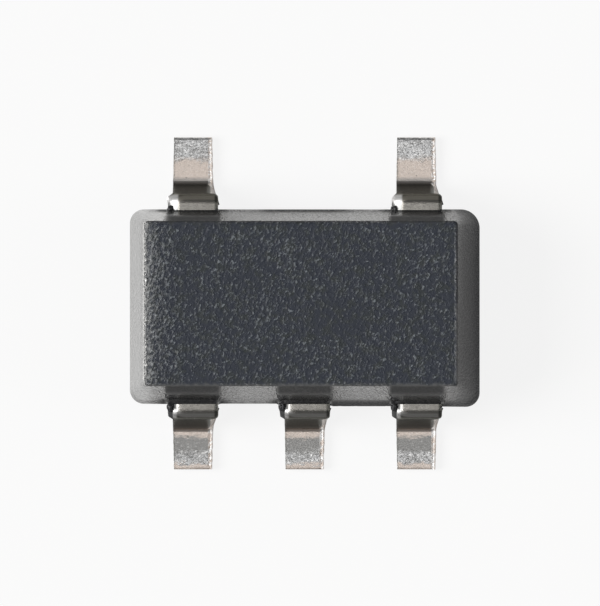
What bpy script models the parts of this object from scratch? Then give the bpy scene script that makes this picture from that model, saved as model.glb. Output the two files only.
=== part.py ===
# Five-lead small-outline operational amplifier, in metres, +Z up, its feet on z = 0.
# X runs along the rows of leads. Leads 1, 2 and 3 leave the -Y side from left to right,
# and leads 4 and 5 leave the +Y side from right to left.

import math

import bmesh
import bpy
from mathutils import Vector

# Moulded body. Length and width are those at the parting plane.
BODY_LENGTH = 0.002969
BODY_WIDTH = 0.001664
BODY_Y = -0.000034
BODY_TOP = 0.0012
STANDOFF = 0.00008
END_DRAFT = math.radians(14.0)
SIDE_DRAFT = math.radians(12.0)
CORNER_RADIUS = 0.00012
FACE_CORNER_RADIUS = 0.00004
FACE_EDGE_RADIUS = 0.00002
FACE_EDGE_ANGLES = (0, 30, 58)

# The top face sits this far off the middle of the body, so that the walls towards +X and
# -Y slope more than the two opposite ones. The parting line is a narrow upright band.
TOP_SHIFT_X = -0.0000325
TOP_SHIFT_Y = 0.0000335
PARTING_BAND = 0.000016

# Resin left between neighbouring leads where the dam bar was cut out. It is as thick as
# the leads on the +Y side and a thin fin at the parting line of the -Y side.
FLASH_REACH_BACK = 0.000002
FLASH_REACH_FRONT = 0.000008
FLASH_FIN_THICKNESS = 0.000014
FLASH_SIDE_GAP = 0.00001

# Formed leads
LEAD_PITCH = 0.00095
LEAD_SPAN = 0.002825
LEAD_THICKNESS = 0.0001
LEAD_HEIGHT = 0.0006
LEAD_ROW_SHIFT_Y = -0.000015
SHOULDER_WIDTH = 0.00043
SHOULDER_REACH = 0.000027
DAM_BAR_STEP = 0.000014
WEB_WIDTH = 0.00034
FOOT_TIP_WIDTH = 0.000325
UPPER_BEND_RADIUS = 0.000105
LOWER_BEND_RADIUS = 0.000045
WEB_ANGLE = math.radians(80.0)
LEAD_EDGE_RADIUS = 0.000012
CUT_EDGE_LEAN = 0.000012

# Lead frame inside the body
PADDLE_LENGTH = 0.00104
PADDLE_WIDTH = 0.00086
PADDLE_Y = 0.00007
PADDLE_NECK_WIDTH = 0.00028
INNER_PAD_WIDTH = 0.00044
INNER_PAD_LENGTH = 0.00028
INNER_PAD_START = 0.00022
INNER_NECK_WIDTH = 0.00026
NECK_END = 0.00014
NECK_TAPER = 0.00005

# Die and its bonds
DIE_LENGTH = 0.0008
DIE_WIDTH = 0.0006
DIE_THICKNESS = 0.00015
ATTACH_THICKNESS = 0.00002
ATTACH_MARGIN = 0.00002
BOND_PAD_INSET = 0.00008
WIRE_DIAMETER = 0.000025
WIRE_LOOP_HEIGHT = 0.00014
BALL_DIAMETER = 0.00007
BALL_HEIGHT = 0.00003
LOOP_STEEPNESS = 1.9
LOOP_LEAN = 0.1
LANDING_SHARE = 0.42
LANDING_RISE = 0.2
GROUND_BOND_X = 0.0001
GROUND_STITCH_DROP = 0.00014

# Clearances between pieces that touch on the real device
SEAT_GAP = 0.000003
MOULD_CLEARANCE = 0.000004

CORNER_STEPS = 5
BEND_STEPS = 7
LEAD_EDGE_STEPS = 2
WIRE_POINTS = 14
SHARP_ANGLE = math.radians(35)

PART_COLLECTION = "operational_amplifier"
CUTTER_COLLECTION = "clearance_cutters"


def clear_scene():
    for obj in list(bpy.data.objects):
        bpy.data.objects.remove(obj, do_unlink=True)


def new_collection(name):
    collection = bpy.data.collections.new(name)
    bpy.context.scene.collection.children.link(collection)
    return collection


def new_material(name, color, metallic, roughness):
    material = bpy.data.materials.new(name)
    material.use_nodes = True
    shader = material.node_tree.nodes["Principled BSDF"]
    shader.inputs["Base Color"].default_value = (*color, 1.0)
    shader.inputs["Metallic"].default_value = metallic
    shader.inputs["Roughness"].default_value = roughness
    return material


def new_object(name, mesh, collection, material=None):
    obj = bpy.data.objects.new(name, mesh)
    collection.objects.link(obj)
    if material is not None:
        obj.data.materials.append(material)
        obj.data.shade_smooth()
        obj.data.set_sharp_from_angle(angle=SHARP_ANGLE)
    else:
        obj.hide_render = True
        obj.display_type = "WIRE"
    return obj


def mesh_from(bm, name):
    bmesh.ops.recalc_face_normals(bm, faces=bm.faces)
    mesh = bpy.data.meshes.new(name)
    bm.to_mesh(mesh)
    bm.free()
    return mesh


def loft(name, rings):
    """A closed mesh through rings of points that all have the same number of points."""
    bm = bmesh.new()
    rows = [[bm.verts.new(point) for point in ring] for ring in rings]
    count = len(rows[0])
    for low, high in zip(rows, rows[1:]):
        for i in range(count):
            j = (i + 1) % count
            bm.faces.new((low[i], low[j], high[j], high[i]))
    bm.faces.new(rows[0])
    bm.faces.new(rows[-1])
    return mesh_from(bm, name)


def rounded_rectangle(length, width, radius, steps):
    """Points round a rectangle centred on the origin, each corner an arc of so many steps."""
    points = []
    for quarter, (sx, sy) in enumerate(((1, 1), (-1, 1), (-1, -1), (1, -1))):
        for step in range(steps + 1):
            angle = (quarter + step / steps) * math.pi / 2
            x = sx * (length / 2 - radius) + radius * math.cos(angle)
            y = sy * (width / 2 - radius) + radius * math.sin(angle)
            points.append((x, y))
    return points


def wall_outset(depth, draft):
    """How far a drafted wall stands out from the sharp edge of its end face, at a depth below it."""
    if depth >= FACE_EDGE_RADIUS * (1 - math.sin(draft)):
        return depth * math.tan(draft)
    tangent = FACE_EDGE_RADIUS * (1 - math.sin(draft)) / math.cos(draft)
    rise = FACE_EDGE_RADIUS - depth
    return math.sqrt(FACE_EDGE_RADIUS**2 - rise**2) - tangent


def half_rings(face_z, parting_z, face_shift):
    """Rings of one mould half, from its end face to the parting plane."""
    height = abs(parting_z - face_z)
    up = 1 if face_z > parting_z else -1
    edge_end = FACE_EDGE_RADIUS * (1 - math.sin(SIDE_DRAFT))
    fillet = [FACE_EDGE_RADIUS * (1 - math.cos(math.radians(a))) for a in FACE_EDGE_ANGLES]
    rings = []
    for depth in (*fillet, edge_end, height):
        end_outset = wall_outset(depth, END_DRAFT) - height * math.tan(END_DRAFT)
        side_outset = wall_outset(depth, SIDE_DRAFT) - height * math.tan(SIDE_DRAFT)
        share = depth / height
        radius = FACE_CORNER_RADIUS + share * (CORNER_RADIUS - FACE_CORNER_RADIUS)
        outline = rounded_rectangle(
            BODY_LENGTH + 2 * end_outset, BODY_WIDTH + 2 * side_outset, radius, CORNER_STEPS
        )
        centre = ((1 - share) * face_shift[0], (1 - share) * face_shift[1] + BODY_Y)
        rings.append([(x + centre[0], y + centre[1], face_z - up * depth) for x, y in outline])
    return rings


def parting_height():
    return LEAD_HEIGHT - LEAD_THICKNESS / 2


def make_body(parts, cutters, material):
    lower = half_rings(STANDOFF, parting_height() - PARTING_BAND / 2, (0.0, 0.0))
    top_shift = (TOP_SHIFT_X, TOP_SHIFT_Y)
    upper = half_rings(BODY_TOP, parting_height() + PARTING_BAND / 2, top_shift)
    body = new_object("package_body", loft("package_body", lower + upper[::-1]), parts, material)
    for number, strip in enumerate(flash_strips()):
        cutter = new_object(f"flash_{number}", strip, cutters["flash"])
        join = body.modifiers.new(cutter.name, "BOOLEAN")
        join.operation = "UNION"
        join.object = cutter
    cut = body.modifiers.new("form_round_pieces", "BOOLEAN")
    cut.operation = "DIFFERENCE"
    cut.operand_type = "COLLECTION"
    cut.collection = cutters["clearance"]
    return body


def box_mesh(name, low, high):
    bm = bmesh.new()
    bmesh.ops.create_cube(bm, size=1.0)
    middle = (Vector(low) + Vector(high)) / 2
    size = Vector(high) - Vector(low)
    for vertex in bm.verts:
        vertex.co = middle + Vector(a * b for a, b in zip(vertex.co, size))
    return mesh_from(bm, name)


def flash_strips():
    """One strip of resin in each gap between neighbouring leads of a row."""
    half_gap = LEAD_PITCH / 2 - SHOULDER_WIDTH / 2 - FLASH_SIDE_GAP
    wide_gap = LEAD_PITCH - SHOULDER_WIDTH / 2 - FLASH_SIDE_GAP
    strips = []
    for side, middle, half in ((1, 0, wide_gap), (-1, -0.5, half_gap), (-1, 0.5, half_gap)):
        reach = FLASH_REACH_BACK if side > 0 else FLASH_REACH_FRONT
        thickness = LEAD_THICKNESS if side > 0 else FLASH_FIN_THICKNESS
        inner = BODY_Y + side * (BODY_WIDTH / 2 - CORNER_RADIUS)
        outer = BODY_Y + side * (BODY_WIDTH / 2 + reach)
        low = (middle * LEAD_PITCH - half, min(inner, outer), parting_height())
        high = (middle * LEAD_PITCH + half, max(inner, outer), parting_height() + thickness)
        strips.append(box_mesh("flash", low, high))
    return strips


def bend_start(side):
    """Y where a lead of that side leaves its flat shoulder."""
    return side * (BODY_WIDTH / 2 + SHOULDER_REACH) + LEAD_ROW_SHIFT_Y


def bend_radii():
    """Radii of the two bends at the middle of the lead's thickness."""
    return UPPER_BEND_RADIUS - LEAD_THICKNESS / 2, LOWER_BEND_RADIUS + LEAD_THICKNESS / 2


def web_length():
    upper, lower = bend_radii()
    drop = LEAD_HEIGHT - LEAD_THICKNESS / 2
    return (drop - (upper + lower) * (1 - math.cos(WEB_ANGLE))) / math.sin(WEB_ANGLE)


def lead_path(run):
    """Outward distance from the bend's start, height and slope after a run along the lead."""
    upper, lower = bend_radii()
    if run <= 0:
        return run, LEAD_HEIGHT, 0.0
    if run <= upper * WEB_ANGLE:
        angle = run / upper
        return upper * math.sin(angle), LEAD_HEIGHT - upper * (1 - math.cos(angle)), angle
    out = upper * math.sin(WEB_ANGLE)
    height = LEAD_HEIGHT - upper * (1 - math.cos(WEB_ANGLE))
    run -= upper * WEB_ANGLE
    if run <= web_length():
        return out + run * math.cos(WEB_ANGLE), height - run * math.sin(WEB_ANGLE), WEB_ANGLE
    out += web_length() * math.cos(WEB_ANGLE)
    run -= web_length()
    angle = max(WEB_ANGLE - run / lower, 0.0)
    out += lower * (math.sin(WEB_ANGLE) - math.sin(angle))
    height = LEAD_THICKNESS / 2 + lower * (1 - math.cos(angle))
    return out + max(run - lower * WEB_ANGLE, 0.0), height, angle


def lead_section(x, side, run, width, grow):
    """Rounded section across the lead at one place along it. Its +X side is cut leaning inwards."""
    out, height, slope = lead_path(run)
    middle = Vector((x, bend_start(side) + side * out, height))
    across = Vector((side, 0, 0))
    normal = Vector((0, side * math.sin(slope), math.cos(slope)))
    outline = rounded_rectangle(
        width + 2 * grow, LEAD_THICKNESS + 2 * grow, LEAD_EDGE_RADIUS + grow, LEAD_EDGE_STEPS
    )
    section = []
    for u, v in outline:
        if side * u > 0:
            u -= side * CUT_EDGE_LEAN * (v / LEAD_THICKNESS + 0.5)
        section.append(middle + across * u + normal * v)
    return section


def inner_stations(side, is_paddle, grow):
    """(run, width) along the part of a lead that the body covers, from its inner end."""
    start = abs(bend_start(side))
    if is_paddle:
        far_edge = start - side * PADDLE_Y + PADDLE_WIDTH / 2
        pad_run = start - side * PADDLE_Y - PADDLE_WIDTH / 2
        widths = (PADDLE_LENGTH, PADDLE_NECK_WIDTH)
    else:
        far_edge = start - INNER_PAD_START
        pad_run = far_edge - INNER_PAD_LENGTH
        widths = (INNER_PAD_WIDTH, INNER_NECK_WIDTH)
    return [
        (-far_edge - grow, widths[0]),
        (-pad_run + grow, widths[0]),
        (-pad_run + NECK_TAPER + grow, widths[1]),
        (-NECK_END - NECK_TAPER - grow, widths[1]),
        (-NECK_END - grow, SHOULDER_WIDTH),
    ]


def outer_stations(side):
    """(run, width) along the part of a lead outside the body, to its tip."""
    upper, lower = bend_radii()
    upper_end = upper * WEB_ANGLE
    web_end = upper_end + web_length()
    lower_end = web_end + lower * WEB_ANGLE
    foot = LEAD_SPAN / 2 - side * bend_start(side) - lead_path(lower_end)[0]
    stations = [(upper_end * step / BEND_STEPS, SHOULDER_WIDTH) for step in range(BEND_STEPS + 1)]
    stations.append((upper_end + DAM_BAR_STEP, WEB_WIDTH))
    for step in range(BEND_STEPS + 1):
        stations.append((web_end + (lower_end - web_end) * step / BEND_STEPS, WEB_WIDTH))
    stations.append((lower_end + foot, FOOT_TIP_WIDTH))
    return stations


def lead_mesh(name, x, side, is_paddle, grow=0.0):
    stations = inner_stations(side, is_paddle, grow) + outer_stations(side)
    stations[-1] = (stations[-1][0] + grow, stations[-1][1])
    return loft(name, [lead_section(x, side, run, width, grow) for run, width in stations])


def lead_places():
    """Lead number, its X and the side of the body that it leaves."""
    return (
        (1, -LEAD_PITCH, -1),
        (2, 0.0, -1),
        (3, LEAD_PITCH, -1),
        (4, LEAD_PITCH, 1),
        (5, -LEAD_PITCH, 1),
    )


def make_leads(parts, clearance, material):
    for number, x, side in lead_places():
        name = f"lead_{number}"
        is_paddle = number == 2
        new_object(name, lead_mesh(name, x, side, is_paddle), parts, material)
        grown = lead_mesh(name + "_clearance", x, side, is_paddle, MOULD_CLEARANCE)
        new_object(name + "_clearance", grown, clearance)


def frame_top():
    return LEAD_HEIGHT + LEAD_THICKNESS / 2


def attach_top():
    return frame_top() + SEAT_GAP + ATTACH_THICKNESS


def die_top():
    return attach_top() + SEAT_GAP + DIE_THICKNESS


def slab_mesh(name, length, width, bottom, top, grow=0.0):
    half = Vector((length / 2 + grow, width / 2 + grow))
    low = (-half.x, PADDLE_Y - half.y, bottom - grow)
    high = (half.x, PADDLE_Y + half.y, top + grow)
    return box_mesh(name, low, high)


def make_die(parts, clearance, silicon, adhesive):
    slabs = (
        ("silicon_die", 0.0, attach_top() + SEAT_GAP, die_top(), silicon),
        ("die_attach", ATTACH_MARGIN, frame_top() + SEAT_GAP, attach_top(), adhesive),
    )
    for name, margin, bottom, top, material in slabs:
        length = DIE_LENGTH + 2 * margin
        width = DIE_WIDTH + 2 * margin
        new_object(name, slab_mesh(name, length, width, bottom, top), parts, material)
        grown = slab_mesh(name + "_clearance", length, width, bottom, top, MOULD_CLEARANCE)
        new_object(name + "_clearance", grown, clearance)


def bond_places(number, x, side):
    """Centre of the ball on the die and of the stitch on the lead."""
    pad_y = PADDLE_Y + side * (DIE_WIDTH / 2 - BOND_PAD_INSET)
    stitch_z = frame_top() + SEAT_GAP + WIRE_DIAMETER / 2
    if number == 2:
        stitch_y = PADDLE_Y - PADDLE_WIDTH / 2 - GROUND_STITCH_DROP
        return Vector((GROUND_BOND_X, pad_y, die_top())), Vector((x, stitch_y, stitch_z))
    pad_x = math.copysign(DIE_LENGTH / 2 - BOND_PAD_INSET, x)
    stitch_x = x - math.copysign(INNER_PAD_WIDTH / 4, x)
    stitch_y = side * (INNER_PAD_START + INNER_PAD_LENGTH / 2)
    return Vector((pad_x, pad_y, die_top())), Vector((stitch_x, stitch_y, stitch_z))


def wire_points(ball, stitch):
    """Points along the loop, which rises from the ball and comes down flat on the lead."""
    start = ball + Vector((0, 0, SEAT_GAP + BALL_HEIGHT / 2))
    over = stitch - start
    level = Vector((over.x, over.y, 0))
    rise = start + Vector((0, 0, LOOP_STEEPNESS * WIRE_LOOP_HEIGHT)) + LOOP_LEAN * level
    land = stitch - LANDING_SHARE * level + Vector((0, 0, LANDING_RISE * WIRE_LOOP_HEIGHT))
    points = []
    for step in range(WIRE_POINTS):
        t = step / (WIRE_POINTS - 1)
        s = 1 - t
        points.append(s**3 * start + 3 * s * s * t * rise + 3 * s * t * t * land + t**3 * stitch)
    return points


def tube_mesh(name, points, diameter):
    """A round wire through the points, as a mesh with welded caps."""
    curve = bpy.data.curves.new(name, "CURVE")
    curve.dimensions = "3D"
    curve.bevel_depth = diameter / 2
    curve.bevel_resolution = 2
    curve.use_fill_caps = True
    spline = curve.splines.new("POLY")
    spline.points.add(len(points) - 1)
    for spline_point, point in zip(spline.points, points):
        spline_point.co = (*point, 1.0)
    guide = bpy.data.objects.new(name, curve)
    bpy.context.scene.collection.objects.link(guide)
    graph = bpy.context.evaluated_depsgraph_get()
    mesh = bpy.data.meshes.new_from_object(guide.evaluated_get(graph))
    bpy.data.objects.remove(guide, do_unlink=True)
    bm = bmesh.new()
    bm.from_mesh(mesh)
    bmesh.ops.remove_doubles(bm, verts=bm.verts, dist=diameter / 1000)
    bpy.data.meshes.remove(mesh)
    return mesh_from(bm, name)


def ball_mesh(name, ball, grow=0.0):
    """The squashed ball that holds the wire on the die."""
    bm = bmesh.new()
    bmesh.ops.create_uvsphere(bm, u_segments=12, v_segments=8, radius=1.0)
    middle = ball + Vector((0, 0, SEAT_GAP + BALL_HEIGHT / 2))
    half = BALL_DIAMETER / 2 + grow
    half_height = BALL_HEIGHT / 2 + grow
    for vertex in bm.verts:
        vertex.co = middle + Vector((vertex.co.x * half, vertex.co.y * half, vertex.co.z * half_height))
    return mesh_from(bm, name)


def make_bond_wires(parts, cutters, material):
    for number, x, side in lead_places():
        name = f"bond_wire_{number}"
        ball, stitch = bond_places(number, x, side)
        points = wire_points(ball, stitch)
        wire = new_object(name, tube_mesh(name, points, WIRE_DIAMETER), parts, material)
        ball_shape = new_object(name + "_ball", ball_mesh(name + "_ball", ball), cutters["balls"])
        join = wire.modifiers.new("ball", "BOOLEAN")
        join.operation = "UNION"
        join.object = ball_shape
        wide = WIRE_DIAMETER + 2 * MOULD_CLEARANCE
        grown = tube_mesh(name + "_clearance", points, wide)
        new_object(name + "_clearance", grown, cutters["clearance"])
        grown_ball = ball_mesh(name + "_ball_clearance", ball, MOULD_CLEARANCE)
        new_object(name + "_ball_clearance", grown_ball, cutters["clearance"])


def build():
    clear_scene()
    parts = new_collection(PART_COLLECTION)
    helpers = new_collection(CUTTER_COLLECTION)
    helpers.hide_render = True
    cutters = {}
    for name in ("flash", "clearance", "balls"):
        cutters[name] = bpy.data.collections.new(name)
        helpers.children.link(cutters[name])
    epoxy = new_material("moulded_epoxy", (0.048, 0.054, 0.062), 0.0, 0.5)
    tin = new_material("tin_plate", (0.72, 0.70, 0.67), 1.0, 0.35)
    silicon = new_material("silicon", (0.16, 0.17, 0.2), 0.3, 0.15)
    adhesive = new_material("silver_adhesive", (0.5, 0.5, 0.48), 0.6, 0.55)
    gold = new_material("gold", (0.95, 0.7, 0.3), 1.0, 0.2)
    make_leads(parts, cutters["clearance"], tin)
    make_die(parts, cutters["clearance"], silicon, adhesive)
    make_bond_wires(parts, cutters, gold)
    make_body(parts, cutters, epoxy)


build()
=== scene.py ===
import math
from types import SimpleNamespace

import bmesh
import bpy
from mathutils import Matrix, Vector, noise


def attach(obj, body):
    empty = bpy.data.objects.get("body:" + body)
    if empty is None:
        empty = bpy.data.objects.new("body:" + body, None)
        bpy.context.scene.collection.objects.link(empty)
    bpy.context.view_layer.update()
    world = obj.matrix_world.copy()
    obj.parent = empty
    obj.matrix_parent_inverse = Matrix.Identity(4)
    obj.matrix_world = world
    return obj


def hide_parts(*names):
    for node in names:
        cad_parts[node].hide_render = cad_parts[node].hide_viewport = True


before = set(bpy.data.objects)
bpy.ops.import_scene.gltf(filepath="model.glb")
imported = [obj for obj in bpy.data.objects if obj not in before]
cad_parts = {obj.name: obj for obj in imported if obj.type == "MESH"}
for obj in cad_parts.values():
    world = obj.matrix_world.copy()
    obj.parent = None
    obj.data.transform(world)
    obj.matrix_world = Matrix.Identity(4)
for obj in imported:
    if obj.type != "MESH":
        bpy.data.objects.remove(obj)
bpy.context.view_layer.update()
scene = bpy.context.scene
print("frame loaded")

# Shapes are modelled in millimetres and brought to metres when a piece is finished.
millimetre = 0.001

leadPitch = 0.95

# number, X and side of every lead
leadPlaces = ((1, -leadPitch, -1), (2, 0.0, -1), (3, leadPitch, -1), (4, leadPitch, 1), (5, -leadPitch, 1))


def finishPiece(bm, name, material, sharpAngle):
    bmesh.ops.scale(bm, vec=(millimetre,) * 3, verts=bm.verts)
    mesh = bpy.data.meshes.new(name)
    bm.to_mesh(mesh)
    bm.free()
    piece = bpy.data.objects.new(name, mesh)
    scene.collection.objects.link(piece)
    mesh.materials.append(material)
    mesh.shade_smooth()
    mesh.set_sharp_from_angle(angle=math.radians(sharpAngle))
    return piece


def ease(value, low, high):
    t = min(max((value - low) / (high - low), 0.0), 1.0)
    return t * t * (3 - 2 * t)


def noiseAt(x, y, z):
    return noise.noise(Vector((x, y, z)))


def along(value, stations):
    # straight lines through (place, amount) stations
    for (lowPlace, lowAmount), (highPlace, highAmount) in zip(stations, stations[1:]):
        if value <= highPlace:
            t = (value - lowPlace) / (highPlace - lowPlace)
            return lowAmount + max(t, 0.0) * (highAmount - lowAmount)
    return stations[-1][1]


# Node helpers. They draw on the tree that newMaterial, newGroup or makeWorld laid on the canvas.
canvas = SimpleNamespace(tree=None)


def feed(socket, value):
    # a socket given as a value is linked, anything else is set
    if isinstance(value, bpy.types.NodeSocket):
        canvas.tree.links.new(value, socket)
    else:
        socket.default_value = value


def feedAll(node, inputs):
    for name, value in inputs.items():
        feed(node.inputs[name], value)


def addNode(kind, inputs=None, **settings):
    node = canvas.tree.nodes.new("ShaderNode" + kind)
    for name, value in settings.items():
        setattr(node, name, value)
    feedAll(node, inputs or {})
    return node


def calc(operation, first, second=0.0, clamp=False):
    return addNode("Math", {0: first, 1: second}, operation=operation, use_clamp=clamp).outputs[0]


def times(first, *others):
    for other in others:
        first = calc("MULTIPLY", first, other)
    return first


def plus(first, *others, clamp=False):
    for other in others:
        first = calc("ADD", first, other, clamp)
    return first


def minus(first, second):
    return calc("SUBTRACT", first, second)


def inverse(share):
    return minus(1.0, share)


def swing(value, amount):
    # a noise about one half, brought to vary about zero
    return times(minus(value, 0.5), amount)


def fade(value, low, high):
    limits = {"Value": value, "From Min": low, "From Max": high}
    return addNode("MapRange", limits, interpolation_type="SMOOTHSTEP").outputs["Result"]


def mixColour(share, first, second):
    return addNode("Mix", {0: share, 6: first, 7: second}, data_type="RGBA").outputs[2]


def mixValue(share, first, second):
    return addNode("Mix", {0: share, 2: first, 3: second}, data_type="FLOAT").outputs[0]


def layered(look, shade, layers):
    # colours of the look laid over a shade, one after the other
    for share, name in layers:
        shade = mixColour(share, shade, look[name])
    return shade


def colour(red, green, blue):
    return (red, green, blue, 1.0)


def grey(tone):
    return colour(tone, tone, tone)


def speckle(vector, size, detail=2.0, roughness=0.5):
    inputs = {"Vector": vector, "Scale": 1 / size, "Detail": detail, "Roughness": roughness}
    return addNode("TexNoise", inputs).outputs[0]


def millimetres(turn=0.0, stretch=(1.0, 1.0, 1.0)):
    # object coordinates in millimetres, turned about Z and then stretched
    place = addNode("TexCoord").outputs["Object"]
    scale = [millimetre / factor for factor in stretch]
    inputs = {"Vector": place, "Rotation": (0, 0, math.radians(turn)), "Scale": scale}
    return addNode("Mapping", inputs, vector_type="TEXTURE").outputs["Vector"]


def fromLane(x):
    # distance towards +X from the middle of the nearest lead
    lane = calc("ROUND", calc("DIVIDE", x, leadPitch))
    return minus(x, times(lane, leadPitch))


def bumped(height, depth):
    return addNode("Bump", {"Height": height, "Distance": depth, "Strength": 1.0}).outputs[0]


def newGroup(name, inputs, outputs):
    # an input without a value is a vector, the others and the outputs are numbers
    canvas.tree = group = bpy.data.node_groups.new(name, "ShaderNodeTree")
    for label, value in inputs.items():
        kind = "NodeSocketVector" if value is None else "NodeSocketFloat"
        socket = group.interface.new_socket(label, in_out="INPUT", socket_type=kind)
        if value is not None:
            socket.default_value = value
    for label in outputs:
        group.interface.new_socket(label, in_out="OUTPUT", socket_type="NodeSocketFloat")
    given = group.nodes.new("NodeGroupInput").outputs
    result = group.nodes.new("NodeGroupOutput").inputs
    return group, given, result


def placeGroup(group, inputs):
    return addNode("Group", inputs, node_tree=group).outputs


def newMaterial(name):
    material = bpy.data.materials.new(name)
    material.use_nodes = True
    canvas.tree = material.node_tree
    return material, canvas.tree.nodes["Principled BSDF"]


def grainGroup():
    # irregular raised grains: a height, and where the tallest ones glint
    wanted = {"Vector": None, "Size": 0.03, "Share": 0.0}
    group, given, result = newGroup("erodedGrain", wanted, ["Height", "Glint"])
    density = calc("DIVIDE", 1.0, given["Size"])
    inputs = {"Vector": given["Vector"], "Scale": density, "Detail": 1.0, "Roughness": 0.55}
    grains = addNode("TexNoise", inputs).outputs[0]
    raised = plus(grains, given["Share"])
    feed(result["Height"], fade(raised, 0.42, 0.72))
    feed(result["Glint"], fade(raised, 0.595, 0.70))
    return group


def specksGroup():
    # scattered round specks of random size, such as dust, pits or single grains
    wanted = {"Vector": None, "Spacing": 0.12, "Size": 0.2, "Softness": 0.03}
    group, given, result = newGroup("scatteredSpecks", wanted, ["Mask"])
    inputs = {"Vector": given["Vector"], "Scale": calc("DIVIDE", 1.0, given["Spacing"])}
    voronoi = addNode("TexVoronoi", inputs)
    pick = addNode("SeparateColor", {0: voronoi.outputs["Color"]}).outputs[0]
    inside = minus(times(given["Size"], pick), voronoi.outputs["Distance"])
    feed(result["Mask"], fade(inside, 0.0, given["Softness"]))
    return group


def scratchGroup():
    # long thin marks along the direction in which the coordinates are stretched
    wanted = {"Vector": None, "Spacing": 0.03, "Amount": 0.5}
    group, given, result = newGroup("fineScratches", wanted, ["Mask"])
    density = calc("DIVIDE", 1.0, given["Spacing"])
    inputs = {"Vector": given["Vector"], "Scale": density, "Detail": 4.0, "Roughness": 0.65}
    lines = addNode("TexNoise", inputs).outputs[0]
    limit = minus(0.75, times(given["Amount"], 0.3))
    feed(result["Mask"], calc("MULTIPLY", minus(lines, limit), 6.0, clamp=True))
    return group


erodedGrain = grainGroup()
scatteredSpecks = specksGroup()
fineScratches = scratchGroup()


epoxyLook = {
    "ground": colour(0.0045, 0.0084, 0.0185),
    "groundWarm": colour(0.0070, 0.0110, 0.0128),
    # paler grain tone, painted brighter as glints
    "fleckGlint": colour(0.158, 0.175, 0.190),
    # painted highlight tone, over the grains along the left edge and along the top edge of the walls
    "wearAndHighlight": colour(0.205, 0.205, 0.200),
    "wall": colour(0.020, 0.020, 0.021),
    "wallPale": colour(0.075, 0.074, 0.072),
    # the left wall painted a little paler, as lit
    "wallLeftLit": grey(0.024),
    # dark tone of the crumbs, and painted shade low on the walls
    "baseAndShade": colour(0.012, 0.013, 0.015),
    "edgeHighlightTone": colour(0.62, 0.61, 0.59),
    "dust": colour(0.20, 0.20, 0.19),
    "wallCoat": 0.06,
    "leftCoat": 0.79,
    "coatRoughness": 0.18,
    "refraction": 1.52,
    "faceRough": (0.50, 0.36),  # of the ground and of the flecks
    "wallRough": (0.12, 0.22),
    "rubbedRough": 0.66,
    "overLeadRough": (0.26, 0.85),  # low and high on the wall over a lead
    "endRough": (0.42, 0.55),  # of the right end, and of its low part
    "crumbRough": 0.65,
    "largeGrain": 0.0235,
    "smallGrain": 0.0145,
    "wallGrain": 0.020,
    "fineSize": 0.014,
    "middleSize": 0.034,
    "mottleSize": 0.085,
    "cloudSize": 0.28,
    "grainDepth": 0.000006,  # in metres
    "grainTurn": -25.0,
    "grainStretch": 0.58,
    "faceX": (-1.357, 1.292),
    "faceY": (-0.696, 0.695),
    "middleZ": 0.64,
    "middleY": -0.034,
    "bodySide": 0.842,
    "coarseEdge": (-1.36, -1.02),
    "smoothPatch": (0.30, -0.14, 0.34, 0.17),  # its middle, then its half length and half width
    "patchBorder": (0.4, 1.4),
    "faceBorder": (-0.012, 0.030),  # inwards from the edge of the top face
    "bottomBorder": (0.10, 0.084),
    "leadBorder": (0.250, 0.205),  # from the middle of a lead
    "gapBehind": 0.5,
    "lowFrom": (0.72, 1.10),  # height at which the walls darken, along the sides and at the right end
    "lowTo": 0.56,
    "rim": (1.16, 1.196),
}


def epoxyZones(look):
    # where the finishes of the body lie
    plain = millimetres()
    x, y, z = addNode("SeparateXYZ", {0: plain}).outputs
    left, right = look["faceX"]
    front, back = look["faceY"]
    middle = speckle(plain, look["middleSize"], 3.0, 0.6)
    fromLeft = minus(x, left)
    fromEnds = calc("MINIMUM", minus(y, front), minus(back, y))
    fromSides = calc("MINIMUM", minus(right, x), fromEnds)
    raggedLeft = plus(fromLeft, swing(middle, 0.10))
    raggedSides = plus(fromSides, swing(middle, 0.045))
    inside = calc("MINIMUM", raggedLeft, raggedSides)
    upper = calc("GREATER_THAN", z, look["middleZ"])
    onTop = times(fade(inside, *look["faceBorder"]), upper)
    behind = calc("GREATER_THAN", y, 0.0)
    nearMiddle = calc("LESS_THAN", calc("ABSOLUTE", x), look["gapBehind"])
    leadsHere = inverse(times(behind, nearMiddle))
    aside = calc("ABSOLUTE", fromLane(x))
    # the left end, and a patch at the back-left corner as a painted highlight, are painted paler as lit
    backCornerHighlight = times(fade(x, -1.12, -1.24), behind, fade(z, 0.62, 0.80), 0.8)
    leftward = calc("MAXIMUM", fade(x, left + 0.10, left - 0.03), backCornerHighlight)
    atEnd = fade(x, right - 0.05, right + 0.03)
    # the walls are painted darker low down towards the parting line, reaching higher at the right end:
    # painted shade, kept off the left end
    lowFrom = mixValue(atEnd, *look["lowFrom"])
    low = fade(minus(lowFrom, z), 0.0, minus(lowFrom, look["lowTo"]))
    beside = calc("ABSOLUTE", minus(y, look["middleY"]))
    return SimpleNamespace(
        plain=plain, x=x, y=y, z=z, middle=middle, behind=behind, leftward=leftward, atEnd=atEnd,
        fine=speckle(plain, look["fineSize"], 2.0, 0.6),
        mottle=speckle(plain, look["mottleSize"], 3.0, 0.6),
        clouds=speckle(plain, look["cloudSize"], 3.0, 0.55),
        fromLeft=fromLeft, fromSides=fromSides, raggedLeft=raggedLeft,
        onFace=plus(onTop, fade(z, *look["bottomBorder"]), clamp=True),
        overLead=times(fade(aside, *look["leadBorder"]), leadsHere),
        besideLead=times(fade(aside, 0.34, 0.24), fade(z, 0.80, 0.62), leadsHere),
        low=times(low, inverse(leftward)),
        # crumbs that stand beside the walls are broken resin
        broken=times(fade(beside, look["bodySide"], look["bodySide"] + 0.008), upper),
    )


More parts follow.
